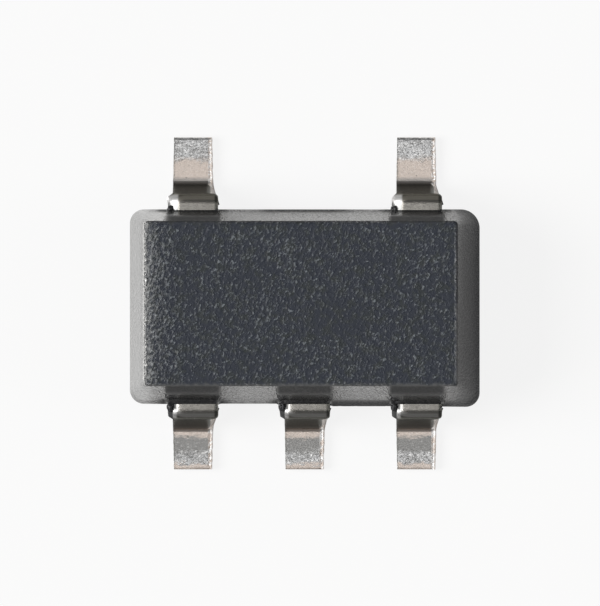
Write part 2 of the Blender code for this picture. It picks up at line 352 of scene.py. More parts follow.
def faceFinish(look, zones):
    # a bluish ground with clusters of slanted paler grains painted brighter as glints, and a painted
    # highlight over the grains along the left edge: shade, roughness and height
    coarse = fade(zones.x, *reversed(look["coarseEdge"]))
    patchX, patchY, patchLength, patchWidth = look["smoothPatch"]
    inner, outer = look["patchBorder"]
    across = calc("POWER", calc("DIVIDE", minus(zones.x, patchX), patchLength), 2.0)
    up = calc("POWER", calc("DIVIDE", minus(zones.y, patchY), patchWidth), 2.0)
    smooth = fade(plus(across, up), outer, inner)
    share = plus(swing(zones.clouds, 0.14), swing(zones.mottle, 0.20), times(coarse, 0.06))
    share = minus(share, plus(times(smooth, 0.05), 0.015))
    share = minus(share, times(fade(zones.fromSides, 0.08, 0.0), 0.07))
    grains = []
    for turn, size in ((0, "largeGrain"), (-20, "smallGrain")):
        slanted = millimetres(look["grainTurn"] + turn, (1.0, look["grainStretch"], 1.0))
        grains.append(placeGroup(erodedGrain, {"Vector": slanted, "Size": look[size], "Share": share}))
    large, small = grains
    # the grains that glint are painted paler: partly their own paler tone, partly a painted highlight
    flecksAndGlints = calc("MAXIMUM", large["Glint"], times(small["Glint"], 0.7))
    flecksAndGlints = times(flecksAndGlints, mixValue(fade(zones.middle, 0.38, 0.64), 0.30, 1.0))
    onGrain = fade(large["Height"], 0.12, 0.46)
    # along the left edge the grains are painted paler: a painted highlight where the light from the left
    # falls on them
    rubbedAndHighlit = times(fade(zones.fromLeft, 0.085, 0.0), fade(zones.middle, 0.38, 0.62))
    leftGrainHighlight = times(fade(zones.fromLeft, 0.26, 0.02), onGrain)
    shade = layered(look, look["ground"], (
        (fade(zones.mottle, 0.42, 0.66), "groundWarm"),
        (times(flecksAndGlints, 0.75), "fleckGlint"),
        (times(rubbedAndHighlit, mixValue(onGrain, 0.35, 1.0)), "wearAndHighlight"),
        (times(leftGrainHighlight, 0.27), "wearAndHighlight"),
    ))
    height = plus(large["Height"], times(small["Height"], 0.5))
    height = times(height, mixValue(coarse, 0.34, 0.85))
    return shade, mixValue(flecksAndGlints, *look["faceRough"]), height


def wallFinish(look, zones):
    # smoother walls, painted palest on the left where the light falls and painted darker low down along the
    # parting line as shade: shade, roughness and height
    x, z, overLead, behind = zones.x, zones.z, zones.overLead, zones.behind
    right = look["faceX"][1]
    # marks drawn down the walls as they left the mould
    sandy = speckle(millimetres(0.0, (1.0, 1.0, 0.28)), look["wallGrain"], 1.0, 0.6)
    drag = speckle(millimetres(0.0, (1.0, 1.0, 0.12)), look["wallGrain"], 3.0, 0.6)
    # sandy paler patches of the wall, left out at the right end and mostly over the leads, where this stands
    # in for painted shade
    patches = mixValue(fade(zones.clouds, 0.35, 0.65), 0.25, 1.0)
    patches = times(patches, fade(sandy, 0.42, 0.62), fade(x, right + 0.08, right - 0.10))
    shade = layered(look, look["wall"], (
        (times(patches, mixValue(overLead, 1.0, 0.35)), "wallPale"),
        (zones.leftward, "wallLeftLit"),
        (zones.low, "baseAndShade"),
        # a painted pale band along the top edge of the walls, softening the shading where they meet the face
        (times(fade(z, *look["rim"]), mixValue(behind, 0.35, 0.0)), "wearAndHighlight"),
    ))
    # beside the leads and low between them the walls are rubbed dull
    rubbedBack = times(fade(z, 0.80, 0.64), behind)
    rubbedBack = times(rubbedBack, fade(calc("ABSOLUTE", x), 0.46, 0.28))
    rubbedFront = times(fade(z, 0.78, 0.64), fade(x, 0.10, 0.25), inverse(behind))
    rubbedAndHighlit = calc("MAXIMUM", zones.besideLead, calc("MAXIMUM", rubbedBack, rubbedFront))
    overRough = mixValue(fade(z, 0.84, 1.02), *look["overLeadRough"])
    endRough, lowEndRough = look["endRough"]
    rough = mixValue(zones.clouds, *look["wallRough"])
    rough = mixValue(rubbedAndHighlit, rough, look["rubbedRough"])
    rough = mixValue(overLead, rough, overRough)
    rough = mixValue(fade(x, mixValue(behind, 1.10, 1.24), 1.36), rough, endRough)
    rough = mixValue(times(zones.low, zones.atEnd), rough, lowEndRough)
    height = plus(times(drag, 0.20), times(sandy, 2.20))
    return shade, rough, times(height, mixValue(overLead, 1.0, 0.30))


def makeEpoxy():
    look = epoxyLook
    material, shader = newMaterial("mouldedEpoxy")
    zones = epoxyZones(look)
    faceShade, faceRough, faceHeight = faceFinish(look, zones)
    wallShade, wallRough, wallHeight = wallFinish(look, zones)
    specks = placeGroup(scatteredSpecks, {
        "Vector": zones.plain, "Spacing": 0.12, "Size": 0.12, "Softness": 0.03})
    # a painted highlight along the left top edge, as a pale broken line
    ragged = zones.raggedLeft
    leftEdgeHighlight = times(fade(ragged, 0.016, -0.004), fade(ragged, -0.036, -0.020))
    leftEdgeHighlight = times(leftEdgeHighlight, fade(zones.z, 1.08, 1.14), fade(zones.fine, 0.44, 0.62))
    shade = layered(look, mixColour(zones.onFace, wallShade, faceShade), (
        (leftEdgeHighlight, "edgeHighlightTone"),
        (times(specks["Mask"], 0.3), "dust"),
    ))
    crumbShade = mixColour(zones.fine, look["baseAndShade"], look["wall"])
    rough = mixValue(zones.onFace, wallRough, faceRough)
    height = mixValue(zones.onFace, wallHeight, faceHeight)
    # the walls shine where the mould was polished, most of all on the left
    polished = times(inverse(zones.overLead), look["wallCoat"], fade(zones.z, 0.66, 0.80))
    polished = mixValue(zones.leftward, polished, look["leftCoat"])
    feedAll(shader, {
        "Base Color": mixColour(zones.broken, shade, crumbShade),
        "Roughness": mixValue(zones.broken, rough, look["crumbRough"]),
        "Coat Weight": times(polished, inverse(zones.onFace)),
        "Coat Roughness": look["coatRoughness"],
        "IOR": look["refraction"],
        "Normal": bumped(height, look["grainDepth"]),
    })
    return material


tinLook = {
    "silver": grey(0.67),
    "white": colour(0.93, 0.92, 0.91),
    "beige": colour(0.66, 0.575, 0.515),
    "grey": colour(0.30, 0.296, 0.288),
    "dull": colour(0.20, 0.197, 0.180),
    "shoulder": colour(0.245, 0.235, 0.215),
    "shoulderPale": colour(0.315, 0.300, 0.278),
    "olive": colour(0.098, 0.092, 0.076),
    "olivePale": colour(0.460, 0.432, 0.372),
    "bendPale": colour(0.440, 0.432, 0.415),
    # painted dark of the webs and bends, a painted reflection
    "paintedDark": colour(0.095, 0.094, 0.084),
    "copper": colour(0.62, 0.44, 0.34),
    "edgeTint": colour(0.72, 0.72, 0.71),
    # of the lower row's dark strip on the shoulder's left side: a resin skin and painted shade
    "resin": colour(0.030, 0.031, 0.032),
    # pairs are of the lower and the upper row
    "glint": (colour(0.05, 0.05, 0.049), colour(0.34, 0.34, 0.335)),
    "bendShift": (-0.031, -0.009),
    "levelShift": (-0.018, -0.003),
    "stainTo": (0.260, 0.165),
    "highlightFrom": (-0.126, -0.112),
    "paintedShadeOnFoot": (0.0, 0.75),
    # outward from the bend: borders between the tones of the foot
    "silverFrom": ((0.365, 0.425), (0.36, 0.42)),
    "greyFrom": (0.24, 0.29),
    "beigeFrom": (0.475, 0.505),
    "sparkleFrom": (0.345, 0.42),
    "sparkleTo": (0.470, 0.498),
    "rowShift": 0.015,
    "bendStart": 0.859,
    "tip": 1.4125,
    "facetSize": 0.012,
    "facetDepth": 0.0000020,  # in metres
}


def leadZones(look):
    # where the finishes of a lead lie, and the noises that they share
    plain = millimetres()
    x, y, z = addNode("SeparateXYZ", {0: plain}).outputs
    upperRow = fade(y, -0.1, 0.1)
    outward = minus(calc("ABSOLUTE", plus(y, look["rowShift"])), look["bendStart"])
    streaky = millimetres(3.0, (0.5, 1.0, 1.0))
    edge = plus(outward, swing(speckle(streaky, 0.04, 4.0, 0.7), 0.16))
    fine = speckle(plain, 0.012, 3.0, 0.65)
    slantedSparkle = speckle(millimetres(-35.0, (1.0, 0.5, 1.0)), 0.030, 2.0, 0.6)
    uneven = swing(fine, 0.06)
    level = plus(z, uneven, mixValue(upperRow, *look["levelShift"]))
    silver = times(fade(edge, *look["sparkleFrom"]), fade(z, 0.14, 0.12))
    beigeTip = mixValue(upperRow, fade(edge, *look["sparkleTo"]), 0.0)
    return SimpleNamespace(
        plain=plain, y=y, z=z, upperRow=upperRow, outward=outward, streaky=streaky,
        edge=edge, fine=fine, uneven=uneven, level=level,
        local=fromLane(x),
        streaks=speckle(streaky, 0.014, 3.0, 0.6),
        sparkle=mixValue(upperRow, slantedSparkle, speckle(streaky, 0.018, 3.0, 0.6)),
        fromBend=plus(outward, mixValue(upperRow, *look["bendShift"])),
        silver=times(silver, inverse(beigeTip)),
        onShoulder=fade(z, 0.640, 0.647),
    )


def footShade(look, zones, facets):
    edge, fine, streaks, silver = zones.edge, zones.fine, zones.streaks, zones.silver
    lowerSilver, upperSilver = look["silverFrom"]
    # upper row: beige next to the bend, speckled silver towards the tip
    upperShade = mixColour(fade(edge, *upperSilver), look["beige"], look["silver"])
    # lower row: a beige line at the bend, dull grey, speckled silver, beige at the tip
    lowerShade = layered(look, look["beige"], (
        (fade(edge, *look["greyFrom"]), "grey"),
        (fade(edge, *lowerSilver), "silver"),
        (fade(edge, *look["beigeFrom"]), "beige"),
    ))
    facetTone = addNode("SeparateColor", {0: facets.outputs["Color"]}).outputs[0]
    patchy = plus(facetTone, swing(zones.sparkle, 2.0))
    wearAndHighlight = fade(speckle(zones.streaky, 0.07, 3.0, 0.6), 0.50, 0.60)
    pits = placeGroup(scatteredSpecks, {
        "Vector": zones.plain, "Spacing": 0.09, "Size": 0.16, "Softness": 0.05})
    # the left edge is a fine dark line, a painted shade where the edge drops away
    leftLine = times(fade(zones.local, -0.148, -0.160), fade(fine, 0.40, 0.58))
    return layered(look, mixColour(zones.upperRow, lowerShade, upperShade), (
        (times(wearAndHighlight, silver, 0.5), "grey"),
        (times(fade(patchy, 0.74, 1.0), silver, 0.9), "white"),
        (times(fade(patchy, 0.22, 0.0), silver, 0.55), "grey"),
        (times(fade(streaks, 0.56, 0.70), 0.30), "white"),
        (times(fade(streaks, 0.44, 0.30), 0.30), "grey"),
        (times(pits["Mask"], 0.7), "dull"),
        (times(leftLine, 0.8), "dull"),
    ))


def bendShade(look, zones, shade):
    # the bends and the upright web are painted dark and grey, a painted reflection of the dark surroundings,
    # and the top of the upper bend is painted pale as a painted reflection
    upperRow, level, local, z = zones.upperRow, zones.level, zones.local, zones.z
    # on the upper row the painted shade of the bend reaches onto the foot
    paintedShadeOnFoot = fade(plus(zones.outward, times(zones.uneven, 0.3)), 0.240, 0.206)
    paintedDark = fade(level, 0.124, mixValue(upperRow, *look["stainTo"]))
    shade = layered(look, shade, (
        (times(paintedShadeOnFoot, mixValue(upperRow, *look["paintedShadeOnFoot"])), "grey"),
        (fade(level, 0.102, 0.122), "grey"),
        (paintedDark, "paintedDark"),
        (times(fade(level, 0.53, 0.57), upperRow), "olive"),
    ))
    paleShade = mixColour(upperRow, look["bendPale"], look["olivePale"])
    shade = mixColour(fade(z, 0.614, 0.630), shade, paleShade)
    shoulderShade = layered(look, look["shoulder"], (
        (fade(zones.streaks, 0.30, 0.70), "shoulderPale"),
        (fade(local, 0.02, 0.20), "shoulder"),
    ))
    shade = mixColour(zones.onShoulder, shade, shoulderShade)
    # painted shade along the right edge of the shoulder
    rightEdgeShade = times(fade(local, 0.176, 0.192), fade(level, 0.48, 0.54), 0.9)
    return mixColour(rightEdgeShade, shade, look["paintedDark"])


def makeTin():
    look = tinLook
    material, shader = newMaterial("tinPlate")
    zones = leadZones(look)
    upperRow, local, fine, fromBend = zones.upperRow, zones.local, zones.fine, zones.fromBend
    facets = addNode("TexVoronoi", {"Vector": zones.streaky, "Scale": 1 / look["facetSize"]})
    shade = bendShade(look, zones, footShade(look, zones, facets))
    # the rounded left edge of the shoulder and bend carries a painted highlight: white on the bend, and on
    # the flat part a glint tone, pale on the upper row and dark on the lower
    highlightFrom = mixValue(upperRow, *look["highlightFrom"])
    flatPart = fade(fromBend, 0.022, -0.014)
    highlightShare = mixValue(upperRow, mixValue(flatPart, 0.66, 1.0), 0.95)
    leftHighlight = times(fade(minus(highlightFrom, local), 0.0, 0.022),
                      fade(fromBend, 0.080, 0.050), highlightShare)
    flatShade = mixColour(upperRow, *look["glint"])
    shade = mixColour(leftHighlight, shade, mixColour(flatPart, look["white"], flatShade))
    # on the lower row the strip beyond it is painted dark and not metallic: partly a skin of resin, partly
    # painted shade on the side of the shoulder
    resin = times(fade(local, -0.160, -0.174), fade(fromBend, 0.10, 0.085))
    resin = times(resin, inverse(upperRow))
    shade = mixColour(resin, shade, look["resin"])
    # the right-hand cut face is painted bright, a painted reflection of the pale floor beside it
    flankFrom = mixValue(fade(zones.z, 0.16, 0.12), 0.142, 0.122)
    onFlank = fade(minus(local, flankFrom), 0.0, 0.012)
    onFlank = times(onFlank, fade(zones.level, 0.52, 0.48),
                    mixValue(fade(fine, 0.34, 0.5), 0.55, 1.0))
    flankShade = mixColour(fade(zones.sparkle, 0.42, 0.60), look["beige"], look["white"])
    shade = mixColour(onFlank, shade, flankShade)
    scratches = placeGroup(fineScratches, {
        "Vector": millimetres(4.0, (1.0, 0.1, 0.1)), "Spacing": 0.014, "Amount": 0.55})
    # the copper alloy is bare where the tip was cut
    cutEnd = fade(calc("ABSOLUTE", zones.y), look["tip"] - 0.0015, look["tip"] - 0.0002)
    shade = layered(look, shade, (
        (times(scratches["Mask"], 0.10), "white"),
        (times(cutEnd, mixValue(fade(fine, 0.35, 0.65), 0.50, 0.92)), "copper"),
    ))
    rough = mixValue(fine, 0.24, 0.40)
    onWeb = fade(zones.z, 0.11, 0.15)
    for share, amount in (
            (onWeb, 0.34), (zones.onShoulder, 0.25), (leftHighlight, 0.48), (resin, 0.62), (onFlank, 0.38)):
        rough = mixValue(share, rough, amount)
    height = times(inverse(facets.outputs["Distance"]), zones.silver)
    height = plus(height, times(fine, 0.5), times(zones.streaks, 0.5))
    feedAll(shader, {
        "Base Color": shade,
        "Metallic": inverse(resin),
        "Roughness": rough,
        "Specular Tint": look["edgeTint"],
        "Normal": bumped(height, look["facetDepth"]),
    })
    return material


epoxy = makeEpoxy()
tin = makeTin()
print("epoxy and tin ready")


bodySizes = {
    "length": 2.969,  # at the parting plane
    "width": 1.664,
    "middleY": -0.034,
    "top": 1.2,
    "bottom": 0.08,
    "parting": 0.55,
    "partingBand": 0.008,
    "topShift": (-0.0325, 0.0335),
    "endDraft": math.radians(14.0),
    "sideDraft": math.radians(12.0),
    "cornerRadius": 0.12,
    "farCornerRadius": 0.16,  # of the corner beside lead 4
    "faceCornerRadius": 0.035,
    "faceEdgeRadius": 0.026,
    "hollow": (0.010, 0.010),  # draws in the walls towards +X and -Y above the parting line
    "hollowEnd": (0.84, 1.0),
    "taper": 0.0093,  # the -Y wall leans away from the long axis towards +X
    "columns": 236,
    "rows": 122,
    "filletAngles": (18, 36, 54, 70),
    "upperWall": (0.05, 0.12, 0.22, 0.32, 0.42),  # depths of the rings below the top face
    "resinWall": (0.72, 0.70, 0.68, 0.66, 0.645, 0.63, 0.615, 0.60, 0.585, 0.57),  # and heights
    "lowerWall": (0.06, 0.18, 0.32, 0.42),  # depths from the bottom face
    "grainHeight": 0.0014,
    "grainSize": 0.030,
    "sag": 0.0012,
    "rollOffReach": 0.095,
    "rollOffDepth": 0.016,
    "leadHalfWidth": 0.215,
    "flashBack": 0.797,  # Y of the resin between leads 4 and 5
    "flashTop": (0.62, 0.71),
    "flashFront": (-0.852, -0.8735),  # Y of the fins between leads 1 and 2, and 2 and 3
    "flashFade": (0.022, 0.006),  # before the side of the next lead
    "flashBreak": 0.004,
    "finTop": 0.66,
    "wallY": 0.7,  # beyond it, either way, lie the side walls
    "creepReach": (0.20, 0.235),  # resin crept onto the leads: half width, height, Y at the front and back
    "creepTop": (0.650, 0.686),
    "creepEdge": (-0.856, 0.793),
    "creepDepth": 0.1,
}


def outset(depth, draft, radius):
    # how far the wall stands out from the sharp edge of its face, at a depth below the face
    tangent = radius * (1 - math.sin(draft)) / math.cos(draft)
    if depth >= radius * (1 - math.sin(draft)):
        return depth * math.tan(draft)
    return math.sqrt(radius**2 - (radius - depth) ** 2) - tangent


def onOutline(corner, halfLength, halfWidth, radius):
    # a point of the unit square brought to a rounded rectangle
    x = corner.x * halfLength
    y = corner.y * halfWidth
    overX = abs(x) - (halfLength - radius)
    overY = abs(y) - (halfWidth - radius)
    if overX > 0 and overY > 0:
        pull = max(overX, overY) / math.hypot(overX, overY)
        x = math.copysign(halfLength - radius + overX * pull, x)
        y = math.copysign(halfWidth - radius + overY * pull, y)
    return x, y


def placeLevel(verts, square, depth, height, faceZ, up, shift):
    # one level of a half, at a depth from its face
    sizes = bodySizes
    edge, endDraft, sideDraft = sizes["faceEdgeRadius"], sizes["endDraft"], sizes["sideDraft"]
    halfLength = sizes["length"] / 2 + outset(depth, endDraft, edge) - height * math.tan(endDraft)
    halfWidth = sizes["width"] / 2 + outset(depth, sideDraft, edge) - height * math.tan(sideDraft)
    share = depth / height
    hollow = share * (1 - ease(share, *sizes["hollowEnd"])) if up > 0 else 0.0
    for vert in verts:
        corner = vert[square]
        far = corner.x > 0 and corner.y > 0
        outer = sizes["farCornerRadius" if far else "cornerRadius"]
        radius = sizes["faceCornerRadius"] + share * (outer - sizes["faceCornerRadius"])
        x, y = onOutline(corner, halfLength, halfWidth, radius)
        if x > 0:
            x *= 1 - hollow * sizes["hollow"][0] / halfLength
        if y < 0:
            y *= 1 + share * sizes["taper"] * x / halfWidth - hollow * sizes["hollow"][1] / halfWidth
        x += (1 - share) * shift[0]
        y += (1 - share) * shift[1] + sizes["middleY"]
        vert.co = (x, y, faceZ - up * depth)


def drawRing(bm, border):
    # the border of the shell so far, drawn out into a new ring
    drawn = bmesh.ops.extrude_edge_only(bm, edges=border)["geom"]
    ring = [part for part in drawn if isinstance(part, bmesh.types.BMVert)]
    edges = [part for part in drawn if isinstance(part, bmesh.types.BMEdge) and part.is_boundary]
    return ring, edges


def mouldHalf(bm, square, faceZ, partingZ, shift, wallDepths):
    # a fine grid for the end face, then its border drawn down ring by ring to the parting plane
    sizes = bodySizes
    up = 1 if faceZ > partingZ else -1
    height = abs(faceZ - partingZ)
    made = bmesh.ops.create_grid(bm, x_segments=sizes["columns"], y_segments=sizes["rows"], size=1.0)
    face = made["verts"]
    for vert in face:
        vert[square] = vert.co
    placeLevel(face, square, 0.0, height, faceZ, up, shift)
    border = list({edge for vert in face for edge in vert.link_edges if edge.is_boundary})
    edgeEnd = sizes["faceEdgeRadius"] * (1 - math.sin(sizes["sideDraft"]))
    fillet = [sizes["faceEdgeRadius"] * (1 - math.cos(math.radians(a))) for a in sizes["filletAngles"]]
    rings = []
    for depth in (*fillet, edgeEnd, *wallDepths, height):
        ring, border = drawRing(bm, border)
        placeLevel(ring, square, depth, height, faceZ, up, shift)
        rings.append((faceZ - up * depth, ring))
    return face, rings, border


def flashShare(x, middle, reach):
    start, end = bodySizes["flashFade"]
    return 1 - ease(abs(x - middle), reach - start, reach - end)


def addFlash(rings):
    # resin that bled out between the leads, with a broken edge
    sizes = bodySizes
    halfPitch, halfLead, wall = leadPitch / 2, sizes["leadHalfWidth"], sizes["wallY"]
    for z, ring in rings:
        atParting = abs(z - sizes["parting"]) < 1.5 * sizes["partingBand"]
        for vert in ring:
            x, y = vert.co.x, vert.co.y
            broken = sizes["flashBreak"] * min(noiseAt(x * 22, y, z * 9), 0.0)
            if y > wall and z > sizes["parting"]:
                share = flashShare(x, 0.0, 2 * halfPitch - halfLead)
                share *= 1 - ease(z + 0.02 * noiseAt(x * 9, 3.1, 0.0), *sizes["flashTop"])
                vert.co.y += share * (sizes["flashBack"] + broken - y)
            if y < -wall and z < sizes["finTop"]:
                for middle, edge in zip((-halfPitch, halfPitch), sizes["flashFront"]):
                    share = flashShare(x, middle, halfPitch - halfLead)
                    target = edge - broken if atParting else max(y, edge)
                    vert.co.y += share * (target - vert.co.y)


def addCreep(rings):
    # resin that crept onto the shoulders of the leads
    sizes = bodySizes
    for z, ring in rings:
        for vert in ring:
            for _, leadX, side in leadPlaces:
                short = side * (sizes["creepEdge"][side > 0] - vert.co.y)
                if z > sizes["parting"] and 0 < short < sizes["creepDepth"]:
                    share = 1 - ease(abs(vert.co.x - leadX), *sizes["creepReach"])
                    share *= 1 - ease(z, *sizes["creepTop"])
                    vert.co.y += side * share * short


def erodeFace(verts, up):
    # slanted grains left by the spark-eroded mould, only ever below the true face
    sizes, look = bodySizes, epoxyLook
    patchX, patchY, patchLength, patchWidth = look["smoothPatch"]
    border = look["patchBorder"]
    turn = math.radians(-look["grainTurn"])
    for vert in verts:
        x, y, z = vert.co
        short = x * math.cos(turn) - y * math.sin(turn)
        long = x * math.sin(turn) + y * math.cos(turn)
        spot = Vector((short, long * look["grainStretch"], 7.0 * up)) / sizes["grainSize"]
        grain = ease(noise.noise(spot) + 0.5 * noise.noise(spot * 2.1), 0.0, 0.6)
        smooth = 1 - ease(((x - patchX) / patchLength) ** 2 + ((y - patchY) / patchWidth) ** 2, *border)
        coarse = 1 - ease(x, *look["coarseEdge"])
        depth = sizes["grainHeight"] * (1 - 0.5 * smooth + 1.1 * coarse)
        sag = sizes["sag"] * (1 + noiseAt(x * 1.3, y * 1.7, 2.0 * up))
        vert.co.z = z - up * (depth * (1 - grain) + sag)


def rollOff(verts):
    # the top's left edge is worn rounder than the rest
    sizes = bodySizes
    height = sizes["top"] - sizes["parting"] - sizes["partingBand"]
    left = sizes["topShift"][0] - sizes["length"] / 2 + height * math.tan(sizes["endDraft"])
    for vert in verts:
        near = min(max((left + sizes["rollOffReach"] - vert.co.x) / sizes["rollOffReach"], 0.0), 1.2)
        wobble = 1 + 0.35 * noiseAt(vert.co.y * 9, 0.0, 1.7)
        vert.co.z -= sizes["rollOffDepth"] * wobble * near * near


def makeBody():
    sizes = bodySizes
    bm = bmesh.new()
    square = bm.verts.layers.float_vector.new("square")
    upperParting = sizes["parting"] + sizes["partingBand"]
    lowerParting = sizes["parting"] - sizes["partingBand"]
    top = sizes["top"]
    upperWall = [*sizes["upperWall"], *(top - z for z in sizes["resinWall"])]
    upperFace, upperRings, upperBorder = mouldHalf(
        bm, square, top, upperParting, sizes["topShift"], upperWall)
    lowerFace, lowerRings, lowerBorder = mouldHalf(
        bm, square, sizes["bottom"], lowerParting, (0.0, 0.0), sizes["lowerWall"])
    addFlash(upperRings + lowerRings)
    addCreep(upperRings)
    erodeFace(upperFace, 1)
    erodeFace(lowerFace, -1)
    rollOff([vert for vert in bm.verts if vert.co.z > top - 0.1])
    bmesh.ops.bridge_loops(bm, edges=upperBorder + lowerBorder)
    bmesh.ops.recalc_face_normals(bm, faces=bm.faces)
    body = finishPiece(bm, "moulded_body", epoxy, 48)
    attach(body, "root")
    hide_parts("package_body")


makeBody()
print("body moulded")


leadSizes = {
    "span": 2.825,
    "thickness": 0.10,
    "height": 0.60,  # of the middle of its thickness
    "rowShift": -0.0260,
    "bendStart": 0.8790,
    "shoulderWidth": 0.43,
    "webWidth": 0.34,
    "tipWidth": 0.325,
    "damBarStep": 0.014,
    "upperBend": 0.032,  # radii at the middle of the thickness
    "lowerBend": 0.082,
    "bendBlend": 0.02,
    "webAngle": math.radians(80.0),
    "paddle": (1.04, -0.50, 0.36),  # width, and its ends from the middle of the body
    "innerPad": (0.44, 0.22, 0.50),
    "neck": (0.28, 0.26),  # width behind the paddle and behind the other pads
    "neckTaper": 0.05,
    "neckEnd": (-0.19, -0.14),  # runs between which it widens to the shoulder
    "innerEnd": -0.10,  # run at which the visible part starts
    "leftReach": 0.212,  # of the visible part, from the middle of the lead
    "leftEdge": (0.150, 0.070),  # reach and fall of the rounding on the shoulder
    "footLeftEdge": (0.003, 0.0),
    "rightEdge": (0.040, 0.026),
    "shoulderRightEdge": (0.018, 0.014),
    "undersideEdges": ((0.012, 0.012), (0.004, 0.003)),  # left and right
    "footSlant": 0.002,  # the +X cut face leans inwards upwards
    "webSlant": 0.022,
    "webFlare": 0.028,  # and stands out at the inner side of the web
    "tipEdge": ((0.003, 0.002), (0.020, 0.016)),  # of the lower and the upper row
    "burr": (0.012, 0.010),  # reach and width
    "cutWaves": (0.006, 0.0025),  # of the right-hand cut face, and of both edges
    "columns": 30,
    "innerRows": 14,
    "outerRows": 92,
    "dent": 0.0014,
    "dentFrom": (0.30, 0.12),  # before the tip
    "ripple": 0.0012,
}


def webLength():
    sizes = leadSizes
    angle = sizes["webAngle"]
    middle = sizes["height"] - sizes["thickness"] / 2
    return (middle - (sizes["upperBend"] + sizes["lowerBend"]) * (1 - math.cos(angle))) / math.sin(angle)


def leadPath(run):
    # outward distance from the start of the bend, height and slope after a run along the lead
    sizes = leadSizes
    upper, lower, angle, web = sizes["upperBend"], sizes["lowerBend"], sizes["webAngle"], webLength()
    if run <= 0:
        return run, sizes["height"], 0.0
    if run <= upper * angle:
        turned = run / upper
        return upper * math.sin(turned), sizes["height"] - upper * (1 - math.cos(turned)), turned
    out = upper * math.sin(angle)
    height = sizes["height"] - upper * (1 - math.cos(angle))
    run -= upper * angle
    if run <= web:
        return out + run * math.cos(angle), height - run * math.sin(angle), angle
    out += web * math.cos(angle)
    run -= web
    turned = max(angle - run / lower, 0.0)
    out += lower * (math.sin(angle) - math.sin(turned))
    height = sizes["thickness"] / 2 + lower * (1 - math.cos(turned))
    return out + max(run - lower * angle, 0.0), height, turned


def leadRuns(side):
    # runs at which the upper bend ends, the lower one starts and ends, and the tip is
    sizes = leadSizes
    angle = sizes["webAngle"]
    upperEnd = sizes["upperBend"] * angle
    webEnd = upperEnd + webLength()
    lowerEnd = webEnd + sizes["lowerBend"] * angle
    reach = sizes["span"] / 2 - side * sizes["rowShift"] - sizes["bendStart"]
    return upperEnd, webEnd, lowerEnd, lowerEnd + reach - leadPath(lowerEnd)[0]


def blankWidths(side, isPaddle):
    # width of the flat blank at runs from its inner end to its tip
    sizes = leadSizes
    upperEnd, _, lowerEnd, tip = leadRuns(side)
    start = sizes["bendStart"] + side * sizes["rowShift"]
    padWidth, padStart, padEnd = sizes["paddle" if isPaddle else "innerPad"]
    neckWidth = sizes["neck"][0 if isPaddle else 1]
    neckEnd, shoulderStart = sizes["neckEnd"]
    return [
        (padStart - start, padWidth),
        (padEnd - start, padWidth),
        (padEnd + sizes["neckTaper"] - start, neckWidth),
        (neckEnd, neckWidth),
        (shoulderStart, sizes["shoulderWidth"]),
        (upperEnd, sizes["shoulderWidth"]),
        (upperEnd + sizes["damBarStep"], sizes["webWidth"]),
        (lowerEnd, sizes["webWidth"]),
        (tip, sizes["tipWidth"]),
    ]


def edgeDrop(distance, reach, fall):
    # how far a rounded edge falls below the face at a distance from the edge
    share = min(max(1 - distance / reach, 0.0), 1.0)
    return fall * (1 - math.sqrt(1 - share * share))


def makeLead(number, x, side):
    # a fine flat plate, whose vertices are then brought to the formed lead
    sizes = leadSizes
    widths = blankWidths(side, isPaddle=number == 2)
    bm = bmesh.new()
    rows = sizes["innerRows"] + sizes["outerRows"]
    bmesh.ops.create_grid(bm, x_segments=sizes["columns"], y_segments=rows, size=1.0)
    lifted = bmesh.ops.extrude_face_region(bm, geom=bm.faces[:])["geom"]
    bmesh.ops.translate(bm, vec=(0, 0, 1), verts=[v for v in lifted if isinstance(v, bmesh.types.BMVert)])
    upright = [edge for edge in bm.edges if abs(edge.verts[0].co.z - edge.verts[1].co.z) > 0.5]
    bmesh.ops.subdivide_edges(bm, edges=upright, cuts=4, use_grid_fill=True)
    seed = 3.7 * number
    for vert in bm.verts:
        formVert(vert, x, side, widths, seed)
    bmesh.ops.recalc_face_normals(bm, faces=bm.faces)
    lead = finishPiece(bm, f"formed_lead_{number}", tin, 50)
    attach(lead, "root")
    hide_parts(f"lead_{number}")


